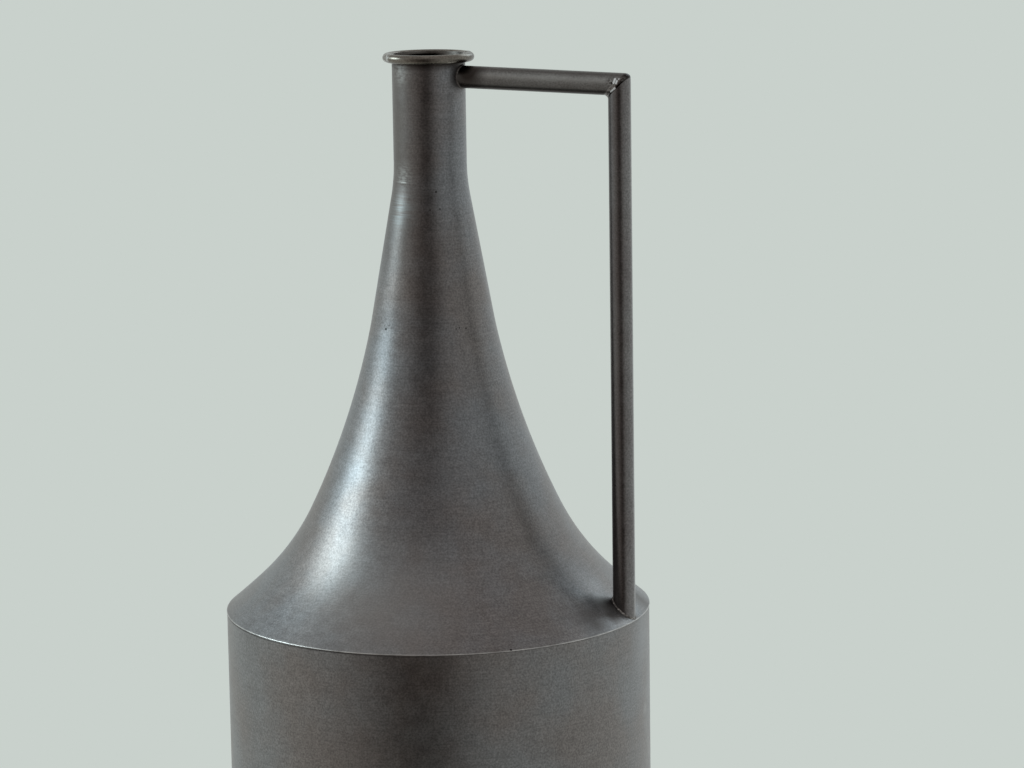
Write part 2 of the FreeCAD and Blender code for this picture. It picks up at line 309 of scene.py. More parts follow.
def upper_line(reach=12.0):
    """The straight cone and the straight neck, with the kink between them eased by an arc.

    The arc starts and ends at the reach from the kink. Its middle lies off the kink by
    the radius times (1 / cos(half the turn) - 1).
    """
    foot, kink = OUTLINE[-1], np.array([NECK_RADIUS, NECK])
    cone_way = (kink - foot) / np.linalg.norm(kink - foot)
    neck_way = np.array([0.0, 1.0])
    half_turn = math.acos(cone_way @ neck_way) / 2
    radius = reach / math.tan(half_turn)
    out = np.array([cone_way[1] + 1.0, -cone_way[0]])
    middle = kink + out / np.linalg.norm(out) * radius * (1 / math.cos(half_turn) - 1)
    start, end = kink - cone_way * reach, kink + neck_way * reach
    bend = arc_through(start, middle, end, 24)
    top = np.array([NECK_RADIUS, MOUTH])
    return np.concatenate([straight(foot, start, 30)[:-1], bend, straight(end, top, 24)[1:]])


box_low, box_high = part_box("neck_tube")
print("mouth level in the frame:", round(box_high[2] / MM, 2), "mm, here", MOUTH)
UPPER_LINE = upper_line()
print("points from the seam to the mouth:", len(UPPER_LINE))

# %% [markdown]
# ## Cone and neck
# Both are sheet that follows the line, cut level at their ends. They could be one piece,
# but the real ones are two with a weld between them, and separate pieces can carry
# separate marks. Each reaches a few hundredths of a millimetre under its weld, so that
# no light shows through.

# %% Cone and neck
def between(line, low_level, high_level):
    """The part of an upward outline between two levels, with its ends cut exactly there."""
    inner = line[(line[:, 1] > low_level + 0.05) & (line[:, 1] < high_level - 0.05)]
    ends = [(np.interp(level, line[:, 1], line[:, 0]), level) for level in (low_level, high_level)]
    return np.concatenate([[ends[0]], inner, [ends[1]]])


def sheet_section(line):
    """A closed section of sheet metal whose outer face follows the line."""
    return np.concatenate([line, (line - outward(line) * SHEET)[::-1]])


upper_low = SEAM + SEAM_GAP / 2 - 0.02
neck_low = NECK - SEAM_GAP + 0.03
upper = spun("upper_shoulder", sheet_section(between(UPPER_LINE, upper_low, neck_low)),
             ["upper_cone"], steps=256)
neck = spun("neck", sheet_section(between(UPPER_LINE, NECK, MOUTH)), ["neck_tube"], steps=192)

# %% [markdown]
# ## Seams that run round the vase
# The seam between the cones is ground flush and shows only as a change of finish and a
# few pinholes. The one under the neck is left a little proud and uneven. A bump texture
# could draw that, but the neck's outline would stay straight. So its section is pushed
# in and out by a sum of waves whose lengths have no common measure, which looks
# hand-made because it never repeats on the way round.

# %% Seams round the vase
def uneven(angles, amount, seed):
    """A smooth irregular wave round the circle: five sines of unlike lengths, added up."""
    random = np.random.default_rng(seed)
    total = np.zeros_like(angles)
    for waves in (3, 7, 12, 19, 31):
        total += np.sin(waves * angles + random.uniform(0, 2 * math.pi)) / math.sqrt(waves)
    return amount * total / 1.5


def weld_ring(name, line, crown, seed, replaces, steps=360):
    """A butt weld in a seam, raised unevenly from the outline's own face.

    Each outer point moves outwards by the crown, times half a sine across the weld, times
    one plus the uneven wave round the vase.
    """
    section = sheet_section(line)
    piece = spun(name, section, [], steps=steps)
    points = np.zeros(len(piece.data.vertices) * 3)
    piece.data.vertices.foreach_get("co", points)
    points = points.reshape(steps, len(section), 3)
    angles = np.linspace(0.0, 2 * math.pi, steps, endpoint=False)
    rise = np.zeros(len(section))
    rise[:len(line)] = np.sin(np.linspace(0.0, math.pi, len(line)))
    push = (crown * (1 + uneven(angles, 0.8, seed)))[:, None] * rise * MM
    points[..., :2] *= 1 + (push / np.linalg.norm(points[..., :2], axis=-1))[..., None]
    piece.data.vertices.foreach_set("co", points.ravel())
    piece.data.update()
    for node_name in replaces:
        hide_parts(node_name)
    return piece


cone_line = straight(OUTLINE[-1], between(UPPER_LINE, upper_low, NECK)[0], 7)
cone_seam = weld_ring("cone_seam", cone_line, 0.0, 1, ["cone_weld"])
neck_ends = between(UPPER_LINE, neck_low, NECK)
neck_line = straight(neck_ends[0], neck_ends[-1], 9)
neck_seam = weld_ring("neck_seam", neck_line, 0.05, 2, ["neck_weld"])

# %% [markdown]
# ## The rim
# A quarter-inch rod is bent into a ring and welded round the mouth, with its two ends at
# the far right. A torus is a circle spun about the axis, so the drum's function makes it.
# Blender's own torus has no gap for the bead between the ends.

# %% Rim
ROD_RADIUS = 3.175
RING_LEVEL = 606.7
RING_RADIUS = 29.175
RING_JOINT = 40.0


def circle_section(centre_radius, level, radius, count=32):
    """A circle: its centre plus the radius times the cosine outwards and the sine up."""
    turns = np.linspace(0.0, 2 * math.pi, count, endpoint=False)
    return np.stack([centre_radius + radius * np.cos(turns), level + radius * np.sin(turns)], axis=1)


joint_turn = math.degrees(WELD_GAP / RING_RADIUS)
rim = spun(
    "rim", circle_section(RING_RADIUS, RING_LEVEL, ROD_RADIUS), ["rim_ring"],
    RING_JOINT + joint_turn / 2, 360 - joint_turn, 240)

# %% [markdown]
# ## The welds of the rim
# A short bead closes the ring's two ends and has been dressed roughly with a grinder. A
# thin one fills the groove between the ring and the mouth. Both could be left out at
# this size, but the rim is where the vase is looked at most, and a closed ring without a
# joint looks cast.

# %% Welds of the rim
def rim_joint(crown=0.16, rows=13, count=40):
    """The bead between the rod's ends: a short torus that swells by the crown in its middle.

    The swell is one minus the square of the way from the middle, times five slow waves
    round the rod.
    """
    turns = np.linspace(-0.5, 0.5, rows)
    around = np.linspace(0.0, 2 * math.pi, count, endpoint=False)
    swell = ROD_RADIUS + crown * (1 - (2 * turns[:, None]) ** 2) * (1 - 0.5 * np.sin(5 * around))
    radius = RING_RADIUS + swell * np.cos(around)
    angle = np.radians(RING_JOINT + joint_turn * turns)[:, None]
    points = np.stack([radius * np.cos(angle), radius * np.sin(angle),
                       RING_LEVEL + swell * np.sin(around)], axis=-1)
    last = (rows - 1) * count
    caps = [list(range(count)), list(range(last + count - 1, last - 1, -1))]
    faces = grid_faces(rows, count, wrap_rows=False)
    return make_piece("rim_joint", points, faces, caps, ["rim_weld"])


rim_bead = rim_joint()
beside_ring = RING_RADIUS - math.sqrt((ROD_RADIUS + 0.1) ** 2 - (MOUTH - RING_LEVEL) ** 2)
rim_fill = spun("rim_fill", [
    (NECK_RADIUS, MOUTH - 1.5), (beside_ring, MOUTH - 0.05),
    ((NECK_RADIUS + beside_ring) / 2, MOUTH - 0.12), (NECK_RADIUS, MOUTH),
], ["rim_weld"], steps=192)

# %% [markdown]
# ## Corner and directions of the handle
# The handle is two lengths of drawn steel tube: an arm that falls a little from the neck
# outwards, and an upright post. All of it is measured from the corner where the two axes
# cross. A curve with a round bevel would sweep it in one go, with a bend at the corner.
# This one is mitred, so each tube is made of straight lines round its own axis.

# %% Corner and directions
TUBE_RADIUS = 7.94
CORNER = np.array([143.8, 0.0, 590.2])
ARM_FALL = math.radians(1.46)
ARM_WAY = np.array([math.cos(ARM_FALL), 0.0, -math.sin(ARM_FALL)])
ARM_UP = np.array([math.sin(ARM_FALL), 0.0, math.cos(ARM_FALL)])
ACROSS = np.array([0.0, 1.0, 0.0])
OUT = np.array([1.0, 0.0, 0.0])
DOWN = np.array([0.0, 0.0, -1.0])
MITRE = (ARM_WAY + DOWN) / np.linalg.norm(ARM_WAY + DOWN)
TURNS = np.linspace(0.0, 2 * math.pi, 96, endpoint=False)


def round_bar(radius, first, second):
    """A circle of offsets: the cosine along one direction and the sine along another."""
    return radius * (np.cos(TURNS)[:, None] * first + np.sin(TURNS)[:, None] * second)


print("the corner is", CORNER[0], "mm from the axis and", CORNER[2], "mm up")

# %% [markdown]
# ## Copes and the mitre
# A fitter cuts each tube's end to the surface that it meets: the neck's cylinder for the
# arm, the shoulder for the post, and the slanting plane of the mitre for both. A Boolean
# modifier can cut them, but leaves ragged faces. Here each line of the tube is simply
# given its own length, by one short formula for each surface.

# %% Ends of the tubes
MITRE_GAP = 0.9
# The tubes stop a hair short of the faces that they are welded to.
NECK_CLEAR = 0.1
SHOULDER_CLEAR = 0.15


def to_neck(offsets):
    """How far along the arm each line meets the neck: the root of a circle's equation."""
    start = CORNER + offsets
    reach = np.sqrt((NECK_RADIUS + NECK_CLEAR) ** 2 - start[:, 1] ** 2)
    return (reach - start[:, 0]) / ARM_WAY[0]


def to_mitre(offsets, way, side):
    """How far along a line lies the plane beside the mitre: what the offset lacks of half
    the gap, over the line's own progress towards the plane."""
    return (side * MITRE_GAP / 2 - offsets @ MITRE) / (way @ MITRE)


def to_shoulder(offsets):
    """How far down the post each line meets the shoulder, read from the outline."""
    start = CORNER + offsets
    radius = np.hypot(start[:, 0], start[:, 1])
    level = np.interp(-radius, -OUTLINE[:, 0], OUTLINE[:, 1]) + SHOULDER_CLEAR
    return start[:, 2] - level


cope = np.ptp(to_shoulder(round_bar(TUBE_RADIUS, OUT, ACROSS)))
print("the cope in the post's foot is", round(float(cope), 1), "mm deep")

# %% [markdown]
# ## The ground outer corner
# The mitre's outer corner was ground round after welding. A Bevel modifier would need
# the two tubes as one mesh. Pulling the points that stick out back onto an arc rounds
# the tubes and the weld over them alike, and each stays its own piece.

# %% Grinding the outer corner
OUTER_ROUND = 4.4


def ground_corner(points, allowance=0.0):
    """Pulls what lies outside the rounded outer corner back onto its arc.

    In each upright slice through the handle the two tubes meet in a square corner. Its
    round shrinks with the slice's height, so the mitre's ridge melts away outwards.
    """
    half = np.sqrt(np.maximum((TUBE_RADIUS + allowance) ** 2 - points[..., 1] ** 2, 0.01))
    radius = OUTER_ROUND * half / TUBE_RADIUS
    flat = np.array([[ARM_UP[0], ARM_UP[2]], [1.0, 0.0]])
    middle = np.linalg.solve(flat, np.ones(2)) * (half - radius)[..., None]
    away = (points - CORNER)[..., [0, 2]] - middle
    beyond = ((away @ flat[0]) > 0) & ((away @ flat[1]) > 0)
    length = np.linalg.norm(away, axis=-1)
    pull = np.where(beyond & (length > radius), radius / np.maximum(length, 1e-9), 1.0)
    result = points.copy()
    result[..., [0, 2]] = points[..., [0, 2]] - away * (1 - pull)[..., None]
    return result


print("the grinder takes", round(OUTER_ROUND * (math.sqrt(2) - 1), 2), "mm off the corner")

# %% [markdown]
# ## The two tubes
# A real tube has a bore, and its wall shows wherever an end is open. Both walls are one
# grid that runs out along the outer face and back along the bore, so the ends close by
# themselves. Points crowd towards the ends, where copes and the ground corner need them,
# because even rows would waste faces on the plain middle.

# %% Arm and post
TUBE_BORE = 6.44


def end_shares(count, power=2.0):
    """Shares from 0 to 1 that crowd towards both ends, where the tube's shape changes."""
    even = np.linspace(-1.0, 1.0, count)
    return 0.5 + 0.5 * np.sign(even) * (1 - (1 - np.abs(even)) ** power)


def tube(name, first, second, way, start_of, end_of, replaces):
    """A tube with an outer and an inner wall: offset plus a share of each line's own length."""
    walls = []
    for radius, shares in ((TUBE_RADIUS, end_shares(70, 3.0)), (TUBE_BORE, end_shares(16)[::-1])):
        offsets = round_bar(radius, first, second)
        start, end = start_of(offsets), end_of(offsets)
        reach = start[:, None] * (1 - shares) + end[:, None] * shares
        walls.append(CORNER + offsets[:, None, :] + reach[..., None] * way)
    points = ground_corner(np.concatenate(walls, axis=1))
    return make_piece(name, points, grid_faces(*points.shape[:2]), replaces=replaces)


arm = tube("handle_arm_tube", ARM_UP, ACROSS, ARM_WAY, to_neck,
           lambda offsets: to_mitre(offsets, ARM_WAY, -1), ["handle_arm"])
post = tube("handle_post_tube", OUT, ACROSS, DOWN,
            lambda offsets: to_mitre(offsets, DOWN, 1), to_shoulder, ["handle_post"])

# %% [markdown]
# ## The weld over the mitre
# The weld fills the slit between the two tubes, stands slightly proud, and was ground by
# hand, so its face is a little wavy. A flat ring of weld metal would do from afar. Close
# to, the waves are what bends its highlight, and they cost only two more terms.

# %% Mitre weld
def unit(vectors):
    """Each vector divided by its own length."""
    return vectors / np.linalg.norm(vectors, axis=-1, keepdims=True)


def mitre_weld(half_width=2.4, crown=0.32, ripple=0.16, sink=0.03, root=1.2):
    """The weld over the mitre: a low uneven cap that reaches a little way onto both tubes.

    The rise is the crown plus a slanting wave, times one minus the square of the way from
    the weld's middle, less a hair so that its edges sink into the tubes.
    """
    arm_offsets = round_bar(TUBE_RADIUS, ARM_UP, ACROSS)
    post_offsets = round_bar(TUBE_RADIUS, OUT, ACROSS)
    arm_end = arm_offsets + (to_mitre(arm_offsets, ARM_WAY, -1) - half_width)[:, None] * ARM_WAY
    post_end = post_offsets + (to_mitre(post_offsets, DOWN, 1) + half_width)[:, None] * DOWN
    middle = arm_offsets + to_mitre(arm_offsets, ARM_WAY, 0)[:, None] * ARM_WAY
    away = unit(arm_offsets + post_offsets)
    share = np.linspace(0.0, 1.0, 7)[None, :, None]
    first = arm_end[:, None, :] * (1 - share) + middle[:, None, :] * share
    second = middle[:, None, :] * (1 - share[:, 1:]) + post_end[:, None, :] * share[:, 1:]
    outer = np.concatenate([first, second], axis=1)
    across = np.linspace(-1.0, 1.0, outer.shape[1])
    wave = uneven(TURNS, ripple, 4)[:, None] * np.cos(3 * across + 6 * TURNS[:, None])
    rise = (crown + wave) * (1 - across ** 2) - sink
    outer = outer + away[:, None, :] * rise[..., None]
    inner = [(end - away * root)[:, None, :] for end in (post_end, arm_end)]
    proud = np.pad(rise, ((0, 0), (0, 2)))
    points = ground_corner(CORNER + np.concatenate([outer] + inner, axis=1), proud)
    return make_piece("mitre_weld", points, grid_faces(*points.shape[:2]), replaces=["corner_weld"])


mitre_bead = mitre_weld()

# %% [markdown]
# ## The fillet in the inner corner
# Inside the corner a grinder can't reach, and the weld stays a hollow-faced fillet from
# tube to tube. It could be part of the mitre's weld, but its shape is another one: a
# quarter of a hollow round, at its largest in the handle's middle plane and fading out
# to both sides.

# %% Inner fillet
def crook_fillet(width=13.0, round_radius=3.7, sink=0.1, depth=1.0):
    """The hollow-faced fillet in the inner corner. It thins out to nothing at both sides.

    In each slice its face is a quarter circle, whose radius follows a half circle over
    the fillet's width, plus a hair so that the outermost slices aren't empty.
    """
    side = np.linspace(-1.0, 1.0, 25)
    reach = np.sqrt(TUBE_RADIUS ** 2 - (side * width / 2) ** 2)
    size = round_radius * np.sqrt(1.001 - side ** 2) + 0.05
    turns = np.linspace(0.0, math.pi / 2, 13)
    # In the plane of the handle, x runs back along the arm and z down the post.
    back = (reach[:, None] - sink) + size[:, None] * (1 - np.sin(turns))
    under = (reach[:, None] - sink) + size[:, None] * (1 - np.cos(turns))
    face = CORNER - back[..., None] * ARM_WAY + under[..., None] * DOWN
    face[..., 1] = (side * width / 2)[:, None]
    root = CORNER - (reach - depth)[:, None] * ARM_WAY + (reach - depth)[:, None] * DOWN
    root[..., 1] = side * width / 2
    points = np.concatenate([face, root[:, None, :]], axis=1)
    count = points.shape[1]
    last = (len(side) - 1) * count
    caps = [list(range(count)), list(range(last + count - 1, last - 1, -1))]
    faces = grid_faces(len(side), count, wrap_rows=False)
    return make_piece("crook_weld", points, faces, caps, ["corner_weld"])


crook = crook_fillet()

# %% [markdown]
# ## Beads as they were laid
# Round the arm's end and the post's foot the welds were left as they were laid: small
# fillets with ripples, each a stop of the welder's hand. A round wire along the joint
# would look like solder. A leg that grows and shrinks on the way gives the row of small
# shiny dots that a laid bead has.

# %% A rippled bead
RIPPLE = 0.4
WANDER = 0.12
ROOT_DEPTH = 0.35


def fillet_bead(root, upward, outwards, leg, ripples, seed):
    """A bead along a closed line: a corner section whose size follows its ripples.

    The leg is multiplied by one plus the height of a row of half sines, plus a slow wave.
    The face lies between a quarter circle and a straight slope: its distance from the
    root is the leg over the sine plus the cosine, to the power of 0.6.
    """
    turns = np.linspace(0.0, math.pi / 2, 8)
    place = np.linspace(0.0, 2 * math.pi, len(root), endpoint=False)
    swell = 1 + RIPPLE * (np.abs(np.sin(ripples * place / 2)) - 0.6) + uneven(place, WANDER, seed)
    bulge = 1 / (np.cos(turns) + np.sin(turns)) ** 0.6
    out_part = (np.cos(turns) * bulge)[None, :, None] * outwards[:, None, :]
    up_part = (np.sin(turns) * bulge)[None, :, None] * upward[:, None, :]
    face = root[:, None, :] + (out_part + up_part) * (leg * swell)[:, None, None]
    back = (root - ROOT_DEPTH * (upward + outwards))[:, None, :]
    return np.concatenate([face, back], axis=1)


print("from valley to top the ripples change the leg by", round(RIPPLE * 100), "percent")

# %% [markdown]
# ## The beads at the neck and on the shoulder
# Both follow the line where a tube meets its surface, so they use the same formulas as
# the tubes' ends. The post stands close to the crease, so its bead has to stay behind
# the lip: its outer edge is held back there, and the leg shortens with it.

# %% Beads of the handle
def arm_bead(leg=0.8, ripples=30):
    """The bead where the arm's lines meet the neck, laid along the neck's face.

    The way along the face is the way out from the arm, less its share along the neck's
    normal.
    """
    offsets = round_bar(TUBE_RADIUS, ARM_UP, ACROSS)
    root = CORNER + offsets + to_neck(offsets)[:, None] * ARM_WAY
    neck_normal = unit(root * np.array([1.0, 1.0, 0.0]))
    radial = unit(offsets)
    along_neck = unit(radial - (radial * neck_normal).sum(axis=1)[:, None] * neck_normal)
    upward = np.broadcast_to(ARM_WAY, root.shape)
    points = fillet_bead(root - neck_normal * NECK_CLEAR, upward, along_neck, leg, ripples, 8)
    return make_piece("arm_bead", points, grid_faces(*points.shape[:2]), replaces=["arm_weld"])


def post_bead(leg=0.95, ripples=34, aim=1.5):
    """The bead round the foot of the post, laid along the shoulder.

    From each line's end it points to the place that the aim gives further out, or to the
    lip where that is nearer, and its leg is never longer than the way there.
    """
    offsets = round_bar(TUBE_RADIUS, OUT, ACROSS)
    root = CORNER + offsets + to_shoulder(offsets)[:, None] * DOWN
    radial = unit(offsets)
    beyond = root + radial * aim
    radius = np.hypot(beyond[:, 0], beyond[:, 1])
    keep = np.minimum(radius, LIP_RADIUS - 0.1)
    beyond[:, :2] *= (keep / radius)[:, None]
    beyond[:, 2] = np.interp(-keep, -OUTLINE[:, 0], OUTLINE[:, 1]) + 0.05
    reach = np.linalg.norm(beyond - root, axis=1)
    upward = np.broadcast_to(-DOWN, root.shape)
    points = fillet_bead(root, upward, unit(beyond - root), np.minimum(reach, leg), ripples, 5)
    return make_piece("post_bead", points, grid_faces(*points.shape[:2]), replaces=["post_weld"])


neck_bead = arm_bead()
foot_bead = post_bead()

# %% [markdown]
# ## One function for every node
# A material is a small machine of nodes: some draw a pattern, some change it, and the last
# is the surface itself. Adding each node with its own lines for sockets would hide the
# idea. So one function adds any node, sets what it is told and links what it is given,
# and a material then reads as a list of its layers.
#
# Colours are written as they look on a screen. The renderer adds up light, so it needs
# linear values, and one function works them out.

# %% Colours and nodes
# A Mix node has several sockets of each name, so its colour sockets go by number: the
# share, the colour under, the colour over, and among its outputs the mixed one.
SHARE, UNDER, OVER, MIXED = 0, 6, 7, 2


def colour(hex_code):
    """A screen colour as linear light.

    Above 4 % it is the value plus 0.055, over 1.055, to the power of 2.4. Below that it is
    a straight line.
    """
    parts = [int(hex_code[place:place + 2], 16) / 255 for place in (1, 3, 5)]
    linear = [
        part / 12.92 if part <= 0.04045 else ((part + 0.055) / 1.055) ** 2.4 for part in parts]
    return (*linear, 1.0)


def node(tree, kind, inputs=(), **settings):
    """Adds a node, applies its settings, and fills its inputs with values or with links."""
    made = tree.nodes.new(kind)
    for name, value in settings.items():
        setattr(made, name, value)
    for name, value in dict(inputs).items():
        if isinstance(value, bpy.types.NodeSocket):
            tree.links.new(value, made.inputs[name])
        else:
            made.inputs[name].default_value = value
    return made


def new_material(name):
    """An empty material with a shader and an output, and the object's own coordinates."""
    material = bpy.data.materials.new(name)
    material.use_nodes = True
    tree = material.node_tree
    tree.nodes.clear()
    shader = node(tree, "ShaderNodeBsdfPrincipled")
    node(tree, "ShaderNodeOutputMaterial", {"Surface": shader.outputs["BSDF"]})
    place = node(tree, "ShaderNodeTexCoord").outputs["Object"]
    return material, tree, shader, place


print("a rubbed tone in linear light:", [round(part, 3) for part in colour("#828385")[:3]])

# %% [markdown]
# ## Patterns with a real size
# Clouds in the acid stain are as wide as a thumb is long, and the speckle under the wax is
# drawn a little over a millimetre wide. A noise texture has no size of its own, so the
# pattern is made from object coordinates and a width in millimetres. Stretching it
# sideways turns blotches into the lines that a rubbing pad leaves. A photograph of worn
# steel could be laid on instead, but it would need unwrapped surfaces and would show
# where it repeats.

# %% Blotches and torn edges
EVEN = (1, 1, 1)


def blotches(tree, place, size_mm, detail=3.0, stretch=EVEN):
    """Noise round a half whose blotches are this wide, times the stretch along each axis."""
    scale = 1 / (size_mm * MM)
    mapped = node(tree, "ShaderNodeMapping", {
        "Vector": place, "Scale": tuple(scale / part for part in stretch)})
    made = node(tree, "ShaderNodeTexNoise", {
        "Vector": mapped.outputs["Vector"], "Scale": 1.0, "Detail": detail})
    return made.outputs["Fac"]


def ragged(tree, place, size_mm, low, high, detail=3.0, stretch=EVEN):
    """A mask with torn edges: blotches cut to 0 at the low value and to 1 at the high one.

    With the low value above the high one, the hollows of the noise are 1 instead.
    """
    return node(tree, "ShaderNodeMapRange", {
        "Value": blotches(tree, place, size_mm, detail, stretch),
        "From Min": low, "From Max": high}).outputs["Result"]


print("grain of 1.3 mm is a noise scale of", round(1 / (1.3 * MM)), "per metre")

# %% [markdown]
# ## Masks by reach
# Wear, soot and stains sit where use and work put them, and painted shade and painted
# highlights sit where light and shade would fall, not everywhere. A mask is a number from 0
# to 1 for each place on the vase. The reach of a place along a direction, such as its
# height, gives one. Masks can be painted by hand too, but a painted one is a picture
# that has to be kept and unwrapped, while these follow the vase at any size.

# %% Reaches and bands
UPWARD = np.array([0.0, 0.0, 1.0])
# The camera's right lies this far round from the handle.
RIGHT_TURN = math.radians(24.0)
RIGHT_SIDE = np.array([math.cos(RIGHT_TURN), math.sin(RIGHT_TURN), 0.0])


def beyond(tree, place, way, from_mm, to_mm):
    """A mask that grows from 0 to 1 between two reaches along a direction: a dot product."""
    reach = node(tree, "ShaderNodeVectorMath", {0: place, 1: tuple(way)}, operation="DOT_PRODUCT")
    return node(tree, "ShaderNodeMapRange", {
        "Value": reach.outputs["Value"],
        "From Min": from_mm * MM, "From Max": to_mm * MM}).outputs["Result"]


def band(tree, place, way, low_mm, high_mm, soft_mm):
    """Two masks whose product is 1 between two reaches and fades over the soft distance."""
    return [beyond(tree, place, way, low_mm - soft_mm, low_mm + soft_mm),
            beyond(tree, place, way, high_mm + soft_mm, high_mm - soft_mm)]


def left_side(tree, place, from_mm, to_mm):
    """Masks for the side at the camera's left, where more of the stain was left on cone and neck, and the
    crease's painted shade is deeper.
    """
    return [beyond(tree, place, -RIGHT_SIDE, from_mm, to_mm), 0.75]


print("held side:", RIGHT_SIDE.round(3))

# %% [markdown]
# ## Masks by distance
# A pit, a speck or a heat mark lies round one place, so its mask comes from the distance
# to that place. The neck's inside comes from the distance to the upright axis. It could
# have a material slot of its own, but the faces would have to be picked out, and the
# distance needs no picking.

# %% Spots and the inside
def spots(tree, place, places, soft=0.5):
    """A mask that is 1 at each place and 0 a radius away: the largest of the single spots.

    Each place is x, y, z and the radius in millimetres. Soft is the share of the radius
    over which a spot fades.
    """
    total = 0.0
    for x, y, z, radius in places:
        away = node(tree, "ShaderNodeVectorMath", {0: place, 1: (x * MM, y * MM, z * MM)},
                    operation="DISTANCE")
        near = node(tree, "ShaderNodeMapRange", {
            "Value": away.outputs["Value"],
            "From Min": radius * MM, "From Max": radius * (1 - soft) * MM})
        total = node(tree, "ShaderNodeMath", {0: total, 1: near.outputs["Result"]},
                     operation="MAXIMUM").outputs["Value"]
    return total


def inside_of(tree, place, radius_mm, edge_mm=0.1):
    """A mask that is 1 nearer to the axis than the radius: the length of x and y alone."""
    level = node(tree, "ShaderNodeVectorMath", {0: place, 1: (1, 1, 0)}, operation="MULTIPLY")
    away = node(tree, "ShaderNodeVectorMath", {0: level.outputs["Vector"]}, operation="LENGTH")
    return node(tree, "ShaderNodeMapRange", {
        "Value": away.outputs["Value"], "From Min": (radius_mm + edge_mm) * MM,
        "From Max": (radius_mm - edge_mm) * MM}).outputs["Result"]


print("the neck's inside begins within", NECK_RADIUS - SHEET / 2, "mm of the axis")

# %% [markdown]
# ## The tone of gunmetal
# The vase is mild steel that was darkened with acid, rubbed back with a pad and waxed.
# The acid bites in clouds, the pad leaves faint lines, and the grain of the steel shows
# through both. One even grey would look like paint, so the tone is two colours in slow
# clouds, times three finer patterns. A piece's own marks are then laid over it.

# %% Tone and marks
def rubbed_tone(tree, place, dark, rubbed, speckle, patches, stretch):
    """The steel's own colour: the clouds' mix of two tones, times three finer patterns."""
    clouds = ragged(tree, place, 60, 0.38, 0.62, 5.0)
    tone = node(tree, "ShaderNodeMix", {
        SHARE: clouds, UNDER: colour(dark), OVER: colour(rubbed)}, data_type="RGBA").outputs[MIXED]
    lines = blotches(tree, place, 0.9, stretch=stretch)
    for pattern, least, most in ((speckle, 0.72, 1.28), (lines, 0.92, 1.08), (patches, 0.94, 1.06)):
        shade = node(tree, "ShaderNodeMapRange", {
            "Value": pattern, "From Min": 0.3, "From Max": 0.7, "To Min": least, "To Max": most})
        tone = node(tree, "ShaderNodeMix", {
            SHARE: 1.0, UNDER: tone, OVER: shade.outputs["Result"]},
            data_type="RGBA", blend_type="MULTIPLY").outputs[MIXED]
    return tone


def laid_over(tree, tone, masks, hex_code):
    """A mark over the tone: a mix with the mark's colour by the product of its masks."""
    share = masks[0]
    for mask in masks[1:]:
        share = node(tree, "ShaderNodeMath", {0: share, 1: mask},
                     operation="MULTIPLY").outputs["Value"]
    return node(tree, "ShaderNodeMix", {
        SHARE: share, UNDER: tone, OVER: colour(hex_code)}, data_type="RGBA").outputs[MIXED]


print("clouds of 60 mm, patches of 9 mm, speckle of 1.3 mm, lines of 0.9 mm")

# %% [markdown]
# ## Gunmetal
# It reflects about a fifth of the light, brownish where the dark is thick and cooler where
# it is rubbed, and its highlights are wide because the surface is finely scratched. The
# scratches could be modelled one by one in a bump texture, but they are far finer than
# a pixel, so roughness stands for them, and the bump keeps to the grain.
#
# One recipe serves every piece, so that all of them look dipped in the same bath. It is
# a metal all through: its colour is the tint of its reflection.

# %% Gunmetal
GRAIN_DEPTH = 0.05
# The pad went round the vase, so its lines are long both ways on the level.
ROUND_THE_VASE = (40, 40, 1)


def gunmetal(name, dark, rubbed, roughness, marks=None, stretch=ROUND_THE_VASE, lumps_mm=0.0,
             grit=None):
    """Acid-darkened, rubbed and waxed steel.

    The tone is the rubbed tone with each mark laid over it. The roughness follows the
    patches, and the bump the speckle. Lumps are coarse bumps below it. Grit is a mask of
    loose bright scratches, which scatter light like powder.
    """
    material, tree, shader, place = new_material(name)
    # The real grain is a few hundredths of a millimetre wide, too fine to show in the
    # render, so the speckle is drawn at 1.3 mm and the pad's lines at 0.9 mm.
    speckle = blotches(tree, place, 1.3)
    patches = blotches(tree, place, 9)
    tone = rubbed_tone(tree, place, dark, rubbed, speckle, patches, stretch)
    for masks, hex_code in (marks(tree, place) if marks else ()):
        tone = laid_over(tree, tone, masks, hex_code)
    tree.links.new(tone, shader.inputs["Base Color"])
    shader.inputs["Metallic"].default_value = 1.0
    if grit:
        steel = node(tree, "ShaderNodeMapRange", {
            "Value": grit(tree, place), "To Min": 1.0, "To Max": 0.0})
        tree.links.new(steel.outputs["Result"], shader.inputs["Metallic"])
    rough = node(tree, "ShaderNodeMapRange", {
        "Value": patches, "From Min": 0.3, "From Max": 0.7,
        "To Min": roughness - 0.03, "To Max": roughness + 0.04})
    tree.links.new(rough.outputs["Result"], shader.inputs["Roughness"])
    bump = node(tree, "ShaderNodeBump", {
        "Height": speckle, "Strength": 0.55, "Distance": GRAIN_DEPTH * MM})
    if lumps_mm:
        coarse = node(tree, "ShaderNodeBump", {
            "Height": blotches(tree, place, 2.6, 2.0), "Distance": lumps_mm * MM})
        tree.links.new(coarse.outputs["Normal"], bump.inputs["Normal"])
    tree.links.new(bump.outputs["Normal"], shader.inputs["Normal"])
    return material


# The four sheets share these tones. The stain is the acid's brown where it was left on.
DARK, RUBBED, STAIN = "#7e7977", "#828385", "#65605c"
print("tones:", DARK, "to", RUBBED, "and stain", STAIN)
